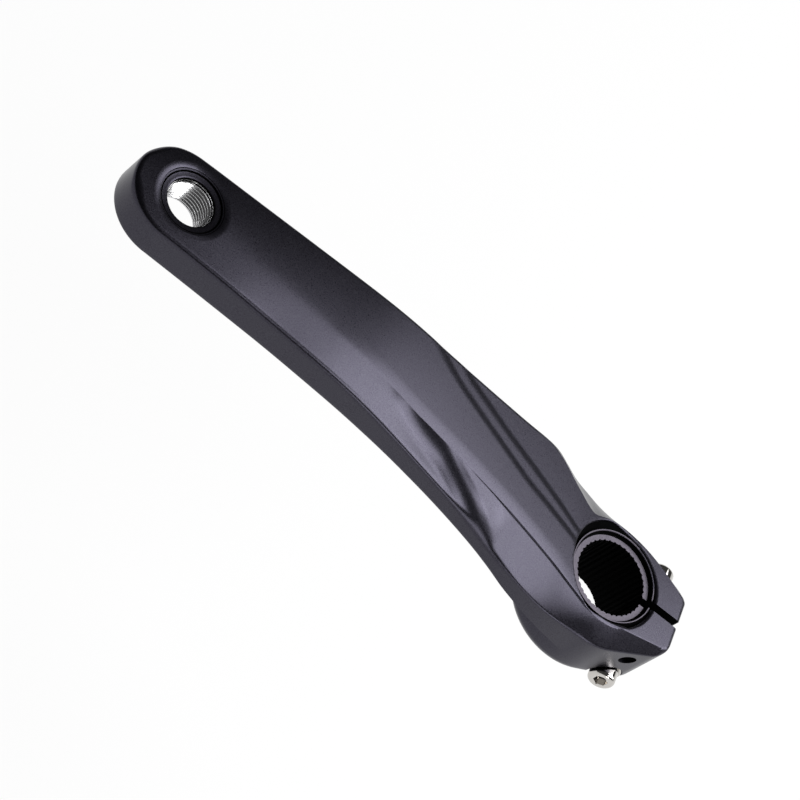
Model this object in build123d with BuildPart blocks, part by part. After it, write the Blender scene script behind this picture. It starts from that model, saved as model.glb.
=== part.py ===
from math import cos, pi, radians, sin
import os

from build123d import *

# Frame: origin on the spindle axis at the inboard face of the boss, +Z outboard, +X to the pedal axis

# Overall arm
crank_length = 170.0
end_center_x = 172.5
end_half_width = 14.85
end_reach = 16.0
boss_radius = 21.8
slab_top = 60.0

# Curves along the arm, each a list of (x, value) read off the photograph at real scale
face_height = [(-32, 25.2), (-15, 26.1), (0, 27.2), (8, 28.2), (20, 30.6), (40, 34.8), (60, 38.9),
               (80, 42.6), (100, 45.6), (120, 47.3), (145, 49.0), (170, 50.2), (194, 50.4)]
under_height = [(-32, 7.0), (-6, 8.0), (0, 10.3), (10, 13.2), (20, 16.2), (40, 21.7), (60, 26.1),
                (80, 30.0), (100, 33.2), (120, 34.95), (145, 36.0), (170, 36.8), (194, 37.2)]
ridge_offset = [(-32, 8.6), (-15, 12.8), (-4, 15.3), (3, 16.2), (13, 14.4), (23, 12.4), (43, 10.0),
                (63, 8.7), (83, 7.8), (103, 5.6), (132, 3.5), (194, 0.0)]
outline_left = [(end_center_x, end_half_width), (153, 15.3), (133, 15.8), (114, 16.5), (96, 16.9),
                (83, 17.1), (73, 17.5), (63, 18.0), (53, 18.8), (43, 19.9), (33, 21.4), (23, 22.4),
                (12, 22.6), (0, boss_radius)]
outline_right = [(end_center_x, -end_half_width), (153, -15.3), (133, -16.0), (114, -16.8), (95, -17.4),
                 (86, -17.6), (76, -17.9), (69, -18.4), (61, -18.9), (50, -19.8), (40, -20.8),
                 (30, -21.7), (20, -22.2), (10, -22.5), (0, -boss_radius)]
left_edge_height = [(-32, 27.0), (-23, 25.0), (-19, 23.8), (-14, 22.6), (-9, 21.6), (1, 21.2), (6, 21.6),
                    (16, 22.5), (23, 23.8), (33, 25.9), (43, 28.2), (53, 31.3), (63, 34.1), (73, 36.6),
                    (83, 39.1), (96, 42.3), (104, 43.9), (114, 45.2), (133, 46.6), (150, 48.0),
                    (170, 48.9), (194, 49.2)]
right_edge_height = [(-32, 22.8), (-23, 22.0), (-19, 21.4), (-14, 20.6), (-9, 19.9), (1, 19.0), (5, 19.2),
                     (10, 19.9), (16, 22.0), (22, 24.4), (28, 28.0), (34, 31.5), (42, 33.0), (60, 36.8),
                     (100, 44.5), (194, 49.5)]
lip_offset = [(-32, -6.6), (-23.5, -10.0), (-17, -12.9), (-9, -15.6), (-1, -16.9), (4, -16.7),
              (8.6, -15.5), (13.6, -13.0), (16.5, -13.3), (21, -15.1), (25.4, -17.1), (29, -19.0),
              (33, -20.9), (37, -22.4), (42, -23.9), (50, -25.0), (194, -25.0)]
step_one_offset = [(-32, 3.0), (10, 2.0), (20.6, 0.0), (30, -1.9), (40, -3.7), (49, -5.6), (59, -7.6),
                   (68, -9.4), (73, -10.5), (78, -12.2), (82, -14.2), (88, -18.0), (96, -19.5),
                   (194, -19.5)]
step_two_offset = [(-32, -3.0), (10, -1.5), (17.6, -3.0), (24, -5.0), (29, -6.4), (38, -8.7), (48, -10.8),
                   (57, -12.7), (62, -14.1), (67, -15.6), (72, -17.2), (80, -21.6), (90, -26.0),
                   (194, -26.5)]
step_depth = [(-32, 0.0), (4, 0.0), (16, 0.5), (26, 0.9), (70, 0.9), (84, 0.7), (92, 0.0), (194, 0.0)]
riser_place = [(-32, 1.35), (40, 1.25), (45, 1.0), (49, 0.82), (55, 0.61), (60, 0.44), (68, 0.2),
               (76, 0.06), (84, 0.0), (194, 0.0)]
riser_depth = [(-32, 0.0), (38, 0.0), (46, 1.1), (54, 1.8), (64, 1.7), (74, 0.9), (84, 0.0), (194, 0.0)]
crown_drop = [(-32, 0.4), (-10, 0.9), (0, 1.1), (10, 0.9), (22, 0.2), (40, 0.0), (80, 0.2), (100, 0.5),
              (130, 0.8), (170, 1.2), (194, 1.2)]
step_width = [(-32, 2.4), (58, 2.4), (70, 3.0), (80, 4.5), (92, 6.0), (194, 6.0)]
riser_width = 0.38
station_shares = [-0.188, -0.153, -0.118, -0.082, -0.047, -0.012, 0.018, 0.047, 0.076, 0.106, 0.135, 0.165, 0.2,
                  0.235, 0.271, 0.306, 0.341, 0.376, 0.412, 0.447, 0.482, 0.518, 0.565, 0.624, 0.694, 0.776,
                  0.871, 0.965, 1.059, 1.141]
stations = [crank_length * share for share in station_shares]
section_reach = 34.0
far_overrun = 4.0
lip_fall = 2.0
lip_least = 0.5
steepest_share = 3.0
ridge_clearance = 0.3
upper_places = [k / 24 for k in range(25)]
lower_places = [k / 14 for k in range(21)]

# Axle end
boss_top = 18.0
boss_edge_round = 4.3
boss_floor = 1.4
nose_radius = 16.0
lobe_tangent_angle = 115.5
lobe_end_x = -25.8
lobe_end_round = 1.7
lobe_near_corner_radius = 5.5
lobe_far_corner_radius = 6.5
spline_teeth = 40
spline_tip_radius = 11.3
spline_root_radius = 12.0
spline_base_radius = 11.15
spline_tip_share = 0.42
spline_root_share = 0.3
spline_length = 24.3
shoulder_radius = 13.8
shoulder_depth = 1.2
shoulder_chamfer = 0.7
recess_radius = 16.4
slit_width = 2.7
slit_offset = 0.45
slit_mouth_round = 0.9

# Pinch bolts across the slit
bolt_x = -17.8
bolt_outer_z = 17.3
bolt_inner_z = 5.2
bolt_radius = 2.5
bolt_shank_length = 21.0
bolt_head_radius = 4.25
bolt_head_height = 5.0
bolt_head_chamfer = 0.6
bolt_tip_chamfer = 0.5
socket_across_flats = 4.0
socket_depth = 2.6
bolt_hole_clearance = 0.2
thread_clearance = 0.05
washer_radius = 4.9
washer_thickness = 1.0
washer_clearance = 0.2
seat_offset = 12.8
spotface_clearance = 0.4

# Pedal eye
pedal_bore_radius = 7.14
pedal_mouth_height = 49.04
pedal_mouth_chamfer = 0.35
pedal_floor_radius = 8.6
pedal_recess_radius = 10.7
pedal_rim_chamfer = 0.35
pedal_dish_radius = 14.4
pedal_dish_height = 49.75
pedal_dish_depth = 0.6

# One tooth of the spline as (radius, share of a pitch), its tip rounded off by the bore circle
tooth_pitch = 2 * pi / spline_teeth
tooth_points = [(spline_base_radius, -spline_tip_share / 2), (spline_base_radius, spline_tip_share / 2),
                (spline_root_radius, (1 - spline_root_share) / 2),
                (spline_root_radius, (1 + spline_root_share) / 2)]

# Points shared by the outline and the boss
lobe_tangent_x = boss_radius * cos(radians(lobe_tangent_angle))
lobe_tangent_y = boss_radius * sin(radians(lobe_tangent_angle))
lobe_slope = -lobe_tangent_x / lobe_tangent_y
lobe_end_y = lobe_tangent_y + lobe_slope * (lobe_end_x - lobe_tangent_x)
lobe_arc_x = lobe_tangent_x / 2
lobe_arc_y = (boss_radius ** 2 - lobe_arc_x ** 2) ** 0.5


def along(curve, x):
    # smooth value of a curve at x, with slopes taken from the neighbouring points
    last = len(curve) - 1
    i = max(0, min(last - 1, sum(1 for p in curve if p[0] <= x) - 1))

    def slope(k):
        a = max(0, k - 1)
        b = min(last, k + 1)
        return (curve[b][1] - curve[a][1]) / (curve[b][0] - curve[a][0])

    x0, v0 = curve[i]
    x1, v1 = curve[i + 1]
    span = x1 - x0
    t = (x - x0) / span
    chord = (v1 - v0) / span
    limit = 3.0 * abs(chord)
    s0 = max(-limit, min(limit, slope(i)))
    s1 = max(-limit, min(limit, slope(i + 1)))
    rise = t * t * (3.0 - 2.0 * t)
    enter = t * t * t - 2.0 * t * t + t
    leave = t * t * t - t * t
    return v0 + (v1 - v0) * rise + span * (s0 * enter + s1 * leave)


def soft(t):
    # smooth step from 0 below -1/2 to 1 above 1/2
    u = max(0.0, min(1.0, t + 0.5))
    return u * u * (3.0 - 2.0 * u)


def wall_offset(outline, x):
    # distance of the side wall from the centre line: bar outline, then boss circle, then straight lobe side
    if x < lobe_tangent_x:
        return lobe_tangent_y + lobe_slope * (x - lobe_tangent_x)
    if x < 0:
        return (boss_radius ** 2 - x ** 2) ** 0.5
    return along(sorted((p[0], abs(p[1])) for p in outline), min(x, end_center_x))


def ridge_at(x):
    # the ridge between the two facets, kept inside the side wall
    return min(along(ridge_offset, x), wall_offset(outline_left, x) - ridge_clearance)


def upper_points(x):
    # upper facet, from the lip on the far side across two soft steps to the ridge
    lip = along(lip_offset, x)
    ridge = ridge_at(x)
    one = along(step_one_offset, x)
    two = along(step_two_offset, x)
    top = along(face_height, x)
    depth = along(step_depth, x)
    crown = along(crown_drop, x)
    width = along(step_width, x)
    points = []
    for place in upper_places:
        y = lip + (ridge - lip) * place
        drop = depth * soft((one - y) / width) + depth * soft((two - y) / width)
        lean = crown * ((ridge - y) / (ridge + end_half_width)) ** 2
        points.append(Vector(y, top - drop - lean))
    return points


def lower_points(x):
    # lower facet, from the ridge out past the wall, with one soft riser running across it
    ridge = ridge_at(x)
    wall = wall_offset(outline_left, x)
    top = along(face_height, x)
    edge = along(left_edge_height, x)
    place = along(riser_place, x)
    depth = along(riser_depth, x)
    low = soft(-place / riser_width)
    high = soft((1.0 - place) / riser_width)
    points = []
    for t in lower_places:
        settled = (soft((min(t, 1.0) - place) / riser_width) - low) / max(high - low, 0.001)
        bulge = depth * (min(t, 1.0) - settled)
        points.append(Vector(ridge + (wall - ridge) * t, top + (edge - top) * t + bulge))
    return points


def far_point(x):
    # lower end of the facet below the lip on the far side, carried on past the wall
    lip = along(lip_offset, x)
    lip_height = upper_points(x)[0].Y
    wall = -wall_offset(outline_right, x)
    edge = along(right_edge_height, x)
    run = lip - wall
    if run < lip_least:
        return Vector(-section_reach, lip_height - lip_fall)
    steep = min((lip_height - edge) / run, steepest_share)
    return Vector(wall - far_overrun, edge - far_overrun * steep)


# The forged arm, machined at both ends
with BuildPart() as crank_arm:
    # round boss with its clamp lobe
    with BuildSketch(Plane.XY.offset(boss_floor)) as boss_plan:
        with BuildLine():
            ThreePointArc((lobe_tangent_x, -lobe_tangent_y), (boss_radius, 0),
                          (lobe_tangent_x, lobe_tangent_y))
            Polyline((lobe_tangent_x, lobe_tangent_y), (lobe_end_x, lobe_end_y), (lobe_end_x, -lobe_end_y),
                     (lobe_tangent_x, -lobe_tangent_y))
        make_face()
        fillet(boss_plan.vertices().group_by(Axis.X)[0].sort_by(Axis.Y)[-1], lobe_near_corner_radius)
        fillet(boss_plan.vertices().group_by(Axis.X)[0].sort_by(Axis.Y)[0], lobe_far_corner_radius)
    extrude(amount=boss_top - boss_floor)
    fillet(crank_arm.faces().sort_by(Axis.Z)[0].edges(), boss_edge_round)
    # raised ring round the bore on the inboard side
    with BuildSketch():
        Circle(nose_radius)
    extrude(amount=boss_top)
    # faceted bar and crown of the boss, lofted through sections across the arm
    for x in stations:
        upper = upper_points(x)
        lower = lower_points(x)
        far = far_point(x)
        floor = along(under_height, x)
        with BuildSketch(Plane(origin=(x, 0, 0), x_dir=(0, 1, 0), z_dir=(1, 0, 0))):
            with BuildLine():
                add(Edge.make_spline(upper, parameters=upper_places))
                add(Edge.make_spline(lower, parameters=[t / lower_places[-1] for t in lower_places]))
                Polyline(lower[-1], (lower[-1].X, floor), (far.X, floor), far, upper[0])
            make_face()
    bar = loft(mode=Mode.PRIVATE)
    # outline of the arm seen along the spindle axis
    with BuildSketch() as arm_plan:
        with BuildLine():
            Spline(*outline_left, tangents=[(-1, 0), (-1, 0)])
            ThreePointArc((0, boss_radius), (lobe_arc_x, lobe_arc_y), (lobe_tangent_x, lobe_tangent_y))
            Polyline((lobe_tangent_x, lobe_tangent_y), (lobe_end_x, lobe_end_y), (lobe_end_x, -lobe_end_y),
                     (lobe_tangent_x, -lobe_tangent_y))
            ThreePointArc((lobe_tangent_x, -lobe_tangent_y), (lobe_arc_x, -lobe_arc_y), (0, -boss_radius))
            Spline(*reversed(outline_right), tangents=[(1, 0), (1, 0)])
            EllipticalCenterArc((end_center_x, 0), end_reach, end_half_width, start_angle=-90, arc_size=180)
        make_face()
        fillet(arm_plan.vertices().group_by(Axis.X)[0].sort_by(Axis.Y)[-1], lobe_near_corner_radius)
        fillet(arm_plan.vertices().group_by(Axis.X)[0].sort_by(Axis.Y)[0], lobe_far_corner_radius)
    blank = extrude(amount=slab_top, mode=Mode.PRIVATE)
    add(bar & blank)
    # stepped recess and splined bore for the spindle
    with BuildSketch(Plane.XZ):
        with BuildLine():
            Polyline((0, spline_length), (shoulder_radius, spline_length),
                     (shoulder_radius, spline_length + shoulder_depth - shoulder_chamfer),
                     (shoulder_radius + shoulder_chamfer, spline_length + shoulder_depth),
                     (recess_radius, spline_length + shoulder_depth), (recess_radius, slab_top),
                     (0, slab_top), close=True)
        make_face()
    revolve(axis=Axis.Z, mode=Mode.SUBTRACT)
    with BuildSketch():
        with BuildLine():
            Polyline(*[(r * cos(tooth_pitch * (k + turn)), r * sin(tooth_pitch * (k + turn)))
                       for k in range(spline_teeth) for r, turn in tooth_points], close=True)
        make_face()
        Circle(spline_tip_radius)
    extrude(amount=spline_length, mode=Mode.SUBTRACT)
    # clamp slit through the lobe, with both jaw corners rounded at its mouth
    with BuildSketch() as slit_plan:
        with Locations((lobe_end_x / 2, slit_offset)):
            Rectangle(-lobe_end_x, slit_width)
        with Locations((lobe_end_x, slit_offset)):
            Rectangle(boss_radius, slit_width + 6 * slit_mouth_round, align=(Align.MAX, Align.CENTER))
        inner = slit_plan.vertices().filter_by(lambda v: abs(v.X - lobe_end_x) < 0.01)
        fillet(inner.filter_by(lambda v: abs(v.Y - slit_offset) < slit_width), slit_mouth_round)
    extrude(amount=slab_top, mode=Mode.SUBTRACT)
    # rounded top edge along the end of the lobe
    round_x = lobe_end_x + lobe_end_round
    round_top = along(face_height, round_x)
    with BuildSketch(Plane(origin=(0, -boss_radius, 0), x_dir=(1, 0, 0), z_dir=(0, -1, 0))):
        with BuildLine():
            CenterArc((round_x, round_top - lobe_end_round), lobe_end_round, 90, 90)
            Polyline((lobe_end_x, round_top - lobe_end_round),
                     (lobe_end_x - lobe_end_round, round_top - lobe_end_round),
                     (lobe_end_x - lobe_end_round, slab_top), (round_x, slab_top), (round_x, round_top))
        make_face()
    extrude(amount=-2 * boss_radius, mode=Mode.SUBTRACT)
    # bolt holes: spotface and clearance on the head side, tapped on the far side
    for side, height in ((1, bolt_inner_z), (-1, bolt_outer_z)):
        seat = Plane(origin=(bolt_x, side * seat_offset, height), x_dir=(1, 0, 0), z_dir=(0, side, 0))
        with BuildSketch(seat):
            Circle(washer_radius + spotface_clearance)
        extrude(amount=boss_radius, mode=Mode.SUBTRACT)
        with BuildSketch(seat):
            Circle(bolt_radius + bolt_hole_clearance)
        extrude(amount=-seat_offset, mode=Mode.SUBTRACT)
        with BuildSketch(seat):
            Circle(bolt_radius + thread_clearance)
        extrude(amount=-2 * boss_radius, mode=Mode.SUBTRACT)
    # pedal eye: shallow dish, stepped recess and threaded hole
    pedal_axis = Axis((crank_length, 0, 0), (0, 0, 1))
    with BuildSketch(Plane(origin=(crank_length, 0, 0), x_dir=(1, 0, 0), z_dir=(0, -1, 0))):
        with BuildLine():
            Polyline((0, pedal_mouth_height - pedal_mouth_chamfer),
                     (pedal_bore_radius, pedal_mouth_height - pedal_mouth_chamfer),
                     (pedal_bore_radius + pedal_mouth_chamfer, pedal_mouth_height),
                     (pedal_floor_radius, pedal_mouth_height),
                     (pedal_recess_radius - pedal_rim_chamfer, pedal_dish_height - pedal_rim_chamfer),
                     (pedal_recess_radius, pedal_dish_height),
                     (pedal_dish_radius, pedal_dish_height + pedal_dish_depth), (pedal_dish_radius, slab_top),
                     (0, slab_top), close=True)
        make_face()
    revolve(axis=pedal_axis, mode=Mode.SUBTRACT)
    with BuildSketch():
        with Locations((crank_length, 0)):
            Circle(pedal_bore_radius)
    extrude(amount=slab_top, mode=Mode.SUBTRACT)
crank_arm.part.label = "crank_arm"

# Two identical socket-head bolts, heads on opposite sides
with BuildPart() as pinch_bolts:
    for side, height in ((1, bolt_inner_z), (-1, bolt_outer_z)):
        head_seat = Plane(origin=(bolt_x, side * (seat_offset + washer_thickness), height), x_dir=(1, 0, 0),
                          z_dir=(0, side, 0))
        with BuildSketch(head_seat):
            Circle(bolt_head_radius)
        extrude(amount=bolt_head_height)
        with BuildSketch(head_seat):
            Circle(bolt_radius)
        extrude(amount=-bolt_shank_length)
    rims = pinch_bolts.edges().filter_by(GeomType.CIRCLE)
    chamfer(rims.group_by(Axis.Y)[0] + rims.group_by(Axis.Y)[-1], bolt_head_chamfer)
    tips = pinch_bolts.edges().filter_by(GeomType.CIRCLE).filter_by(lambda e: e.radius < bolt_radius + 0.01)
    tip_offset = bolt_shank_length - seat_offset - washer_thickness
    chamfer(tips.filter_by(lambda e: abs(abs(e.center().Y) - tip_offset) < 0.01), bolt_tip_chamfer)
    for side, height in ((1, bolt_inner_z), (-1, bolt_outer_z)):
        head_top = Plane(origin=(bolt_x, side * (seat_offset + washer_thickness + bolt_head_height), height),
                         x_dir=(1, 0, 0), z_dir=(0, side, 0))
        with BuildSketch(head_top):
            RegularPolygon(socket_across_flats / 2, 6, major_radius=False)
        extrude(amount=-socket_depth, mode=Mode.SUBTRACT)
pinch_bolts.part.label = "pinch_bolts"

# Two identical plain washers under the bolt heads
with BuildPart() as pinch_bolt_washers:
    for side, height in ((1, bolt_inner_z), (-1, bolt_outer_z)):
        seat = Plane(origin=(bolt_x, side * seat_offset, height), x_dir=(1, 0, 0), z_dir=(0, side, 0))
        with BuildSketch(seat):
            Circle(washer_radius)
            Circle(bolt_radius + washer_clearance, mode=Mode.SUBTRACT)
        extrude(amount=washer_thickness)
pinch_bolt_washers.part.label = "pinch_bolt_washers"

os.makedirs("parts", exist_ok=True)
export_step(crank_arm.part, "parts/crank_arm.step")
export_step(pinch_bolts.part, "parts/pinch_bolts.step")
export_step(pinch_bolt_washers.part, "parts/pinch_bolt_washers.step")
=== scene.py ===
import bmesh
import bpy
import numpy as np
from mathutils import Euler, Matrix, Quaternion, Vector


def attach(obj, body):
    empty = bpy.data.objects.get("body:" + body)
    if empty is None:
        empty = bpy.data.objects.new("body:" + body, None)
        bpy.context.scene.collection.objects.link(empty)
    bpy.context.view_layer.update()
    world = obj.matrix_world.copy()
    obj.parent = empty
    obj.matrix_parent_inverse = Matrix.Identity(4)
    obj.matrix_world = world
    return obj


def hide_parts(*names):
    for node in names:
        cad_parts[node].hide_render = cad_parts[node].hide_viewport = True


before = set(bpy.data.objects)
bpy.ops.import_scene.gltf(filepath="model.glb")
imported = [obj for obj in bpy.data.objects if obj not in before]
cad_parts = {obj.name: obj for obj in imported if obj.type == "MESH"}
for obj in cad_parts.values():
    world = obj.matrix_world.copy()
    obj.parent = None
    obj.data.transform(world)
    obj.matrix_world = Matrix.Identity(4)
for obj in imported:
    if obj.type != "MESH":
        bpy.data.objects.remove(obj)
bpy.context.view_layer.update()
mm = 0.001
print("frame loaded:", sorted(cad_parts))


def linearFrom(hexText):
    # sRGB hex to linear RGBA
    s = np.array([int(hexText[i:i + 2], 16) for i in (1, 3, 5)]) / 255
    lin = np.where(s <= 0.04045, s / 12.92, ((s + 0.055) / 1.055) ** 2.4)
    return (*[float(v) for v in lin], 1.0)


def addNode(tree, kind, settings=None, inputs=None):
    # one node with its settings; an input is a constant or the socket that feeds it
    node = tree.nodes.new(kind)
    for key, value in (settings or {}).items():
        setattr(node, key, value)
    for key, value in (inputs or {}).items():
        if isinstance(value, bpy.types.NodeSocket):
            tree.links.new(value, node.inputs[key])
        else:
            node.inputs[key].default_value = value
    return node


def newMaterial(name):
    # a node material with an empty tree
    material = bpy.data.materials.new(name)
    material.use_nodes = True
    material.node_tree.nodes.clear()
    return material, material.node_tree


# Satin black paint on a forging: a dark film with a metal glint under it, so facets
# pick up the softbox as broad grey sheens, and a fine blasted grain breaks them up
satinPaint = {
    "color": "#414048", "darkGrain": "#33313a", "metallic": 1.0, "roughness": 0.3, "roughnessSpread": 0.04,
    "specular": 0.5,
    "grainMm": 0.32,       # the real grain is about 0.2 mm, drawn coarser so that it shows
    "bumpMm": 0.006,
}


def paintMaterial(name, look):
    # noise of the grain's size drives tone, roughness and bump together
    material, tree = newMaterial(name)
    place = addNode(tree, "ShaderNodeTexCoord").outputs["Object"]
    grain = addNode(tree, "ShaderNodeTexNoise", {"noise_dimensions": "3D"},
                    {"Vector": place, "Scale": 1 / (look["grainMm"] * mm), "Detail": 3.0, "Roughness": 0.6})
    spread = addNode(tree, "ShaderNodeMapRange", None,
                     {"Value": grain.outputs["Fac"], "From Min": 0.35, "From Max": 0.65,
                      "To Min": 0.0, "To Max": 1.0})
    tone = addNode(tree, "ShaderNodeMix", {"data_type": "RGBA"},      # sockets 6 and 7 are its two colours
                   {0: spread.outputs["Result"], 6: linearFrom(look["darkGrain"]), 7: linearFrom(look["color"])})
    rough = addNode(tree, "ShaderNodeMapRange", None,
                    {"Value": grain.outputs["Fac"], "From Min": 0.3, "From Max": 0.7,
                     "To Min": look["roughness"] - look["roughnessSpread"],
                     "To Max": look["roughness"] + look["roughnessSpread"]})
    bump = addNode(tree, "ShaderNodeBump", None,
                   {"Strength": 0.35, "Distance": look["bumpMm"] * mm, "Height": grain.outputs["Fac"]})
    shader = addNode(tree, "ShaderNodeBsdfPrincipled", None,
                     {"Base Color": tone.outputs[2], "Metallic": look["metallic"],
                      "Specular IOR Level": look["specular"], "Roughness": rough.outputs["Result"],
                      "Normal": bump.outputs["Normal"]})
    addNode(tree, "ShaderNodeOutputMaterial", None, {"Surface": shader.outputs["BSDF"]})
    return material


# Turned seat at the mouth of the bore: a thinner coat over cut metal, so it reads as a paler mauve grey
turnedSeat = {"color": "#6b6671", "darkGrain": "#59545f", "metallic": 0.6, "roughness": 0.5, "roughnessSpread": 0.05,
              "specular": 0.5, "grainMm": 0.5, "bumpMm": 0.008}
# Near-black matte, far darker and duller than the arm's own black paint: painted shade laid in the splined bore, the
# slit, the recess walls and grooves where shade falls
shadeBlack = {"color": "#040405", "darkGrain": "#020202", "metallic": 0.0, "roughness": 0.8, "roughnessSpread": 0.05,
             "specular": 0.02, "grainMm": 0.4, "bumpMm": 0.01}
# Cut aluminium left bare after painting: bright, with fine tool lines round the axis
bareAluminium = {"color": "#dcdcdd", "ringMm": 0.4, "roughness": 0.22, "bumpMm": 0.002}
# Polished chromed steel: a mirror with faint polishing haze
polishedChrome = {"color": "#c4c1bd", "hazeMm": 3.0, "roughness": 0.07, "roughnessSpread": 0.03}


def bareMetalMaterial(name, look):
    # tool lines are bands along Z, the axis of both cuts; a wave has 20 bands in 2 pi units at scale 1
    material, tree = newMaterial(name)
    place = addNode(tree, "ShaderNodeTexCoord").outputs["Object"]
    lines = addNode(tree, "ShaderNodeTexWave", {"wave_type": "BANDS", "bands_direction": "Z"},
                    {"Vector": place, "Scale": 2 * np.pi / 20 / (look["ringMm"] * mm), "Distortion": 0.6,
                     "Detail": 1.0})
    bump = addNode(tree, "ShaderNodeBump", None,
                   {"Strength": 0.3, "Distance": look["bumpMm"] * mm, "Height": lines.outputs["Fac"]})
    shader = addNode(tree, "ShaderNodeBsdfPrincipled", None,
                     {"Base Color": linearFrom(look["color"]), "Metallic": 1.0, "Roughness": look["roughness"],
                      "Normal": bump.outputs["Normal"]})
    addNode(tree, "ShaderNodeOutputMaterial", None, {"Surface": shader.outputs["BSDF"]})
    return material


def chromeMaterial(name, look):
    # slow noise moves the roughness a little either way
    material, tree = newMaterial(name)
    place = addNode(tree, "ShaderNodeTexCoord").outputs["Object"]
    haze = addNode(tree, "ShaderNodeTexNoise", {"noise_dimensions": "3D"},
                   {"Vector": place, "Scale": 1 / (look["hazeMm"] * mm), "Detail": 4.0})
    rough = addNode(tree, "ShaderNodeMapRange", None,
                    {"Value": haze.outputs["Fac"], "From Min": 0.3, "From Max": 0.7,
                     "To Min": look["roughness"] - look["roughnessSpread"],
                     "To Max": look["roughness"] + look["roughnessSpread"]})
    shader = addNode(tree, "ShaderNodeBsdfPrincipled", None,
                     {"Base Color": linearFrom(look["color"]), "Metallic": 1.0, "Roughness": rough.outputs["Result"]})
    addNode(tree, "ShaderNodeOutputMaterial", None, {"Surface": shader.outputs["BSDF"]})
    return material


paint = paintMaterial("satin black paint on forged aluminium", satinPaint)
seatMetal = paintMaterial("turned seat with a thin coat", turnedSeat)
# near-black matte: painted shade for the bore, the slit and the recesses
paintedShade = paintMaterial("near-black painted shade in bore and recesses", shadeBlack)
bareMetal = bareMetalMaterial("bare cut aluminium", bareAluminium)
chrome = chromeMaterial("polished chromed steel", polishedChrome)
print("materials made")

# In metres: points nearer than the first are one point, edges shorter than the second go
samePlace, sliverSize = 1e-7, 1e-6


def closeMesh(mesh):
    # points that coincide become one, faces of no area go, and the rest turn outwards
    tidy = bmesh.new()
    tidy.from_mesh(mesh)
    bmesh.ops.remove_doubles(tidy, verts=tidy.verts, dist=samePlace)
    bmesh.ops.dissolve_degenerate(tidy, edges=tidy.edges, dist=sliverSize)
    bmesh.ops.recalc_face_normals(tidy, faces=tidy.faces)
    tidy.to_mesh(mesh)
    tidy.free()


def gridObject(name, grid, materials, rowMaterial=None, loopRows=False):
    # quads over grid[around, row]; the first direction closes on itself, poles and seams are merged
    around, rows = grid.shape[:2]
    i, j = np.meshgrid(np.arange(around), np.arange(rows if loopRows else rows - 1), indexing="ij")
    nextI, nextJ = (i + 1) % around, (j + 1) % rows
    quads = np.stack([i * rows + j, nextI * rows + j, nextI * rows + nextJ, i * rows + nextJ], -1).reshape(-1, 4)
    mesh = bpy.data.meshes.new(name)
    mesh.from_pydata(grid.reshape(-1, 3) * mm, [], quads)
    for material in materials:
        mesh.materials.append(material)
    if rowMaterial is not None:
        mesh.polygons.foreach_set("material_index", np.asarray(rowMaterial, np.int32)[j.reshape(-1)])
    closeMesh(mesh)
    piece = bpy.data.objects.new(name, mesh)
    bpy.context.scene.collection.objects.link(piece)
    return piece


def joinMeshes(first, others):
    # several closed shells as one piece
    tidy = bmesh.new()
    for piece in [first, *others]:
        tidy.from_mesh(piece.data)
    tidy.to_mesh(first.data)
    tidy.free()
    for piece in others:
        bpy.data.objects.remove(piece)
    return first


def carve(body, tool, operation):
    # exact solid operation, applied at once; faces cut by the tool keep the tool's material
    step = body.modifiers.new(tool.name, "BOOLEAN")
    step.operation, step.object, step.solver = operation, tool, "EXACT"
    step.material_mode = "TRANSFER"
    graph = bpy.context.evaluated_depsgraph_get()
    result = bpy.data.meshes.new_from_object(body.evaluated_get(graph), preserve_all_data_layers=True,
                                             depsgraph=graph)
    body.modifiers.clear()
    body.data = result
    bpy.data.objects.remove(tool)
    print("carved:", operation.lower(), len(result.polygons), "faces")


def finishShading(piece, degrees):
    # smooth faces, with a crisp line where two of them meet at more than the angle
    piece.data.shade_smooth()
    piece.data.set_sharp_from_angle(angle=np.radians(degrees))


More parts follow.
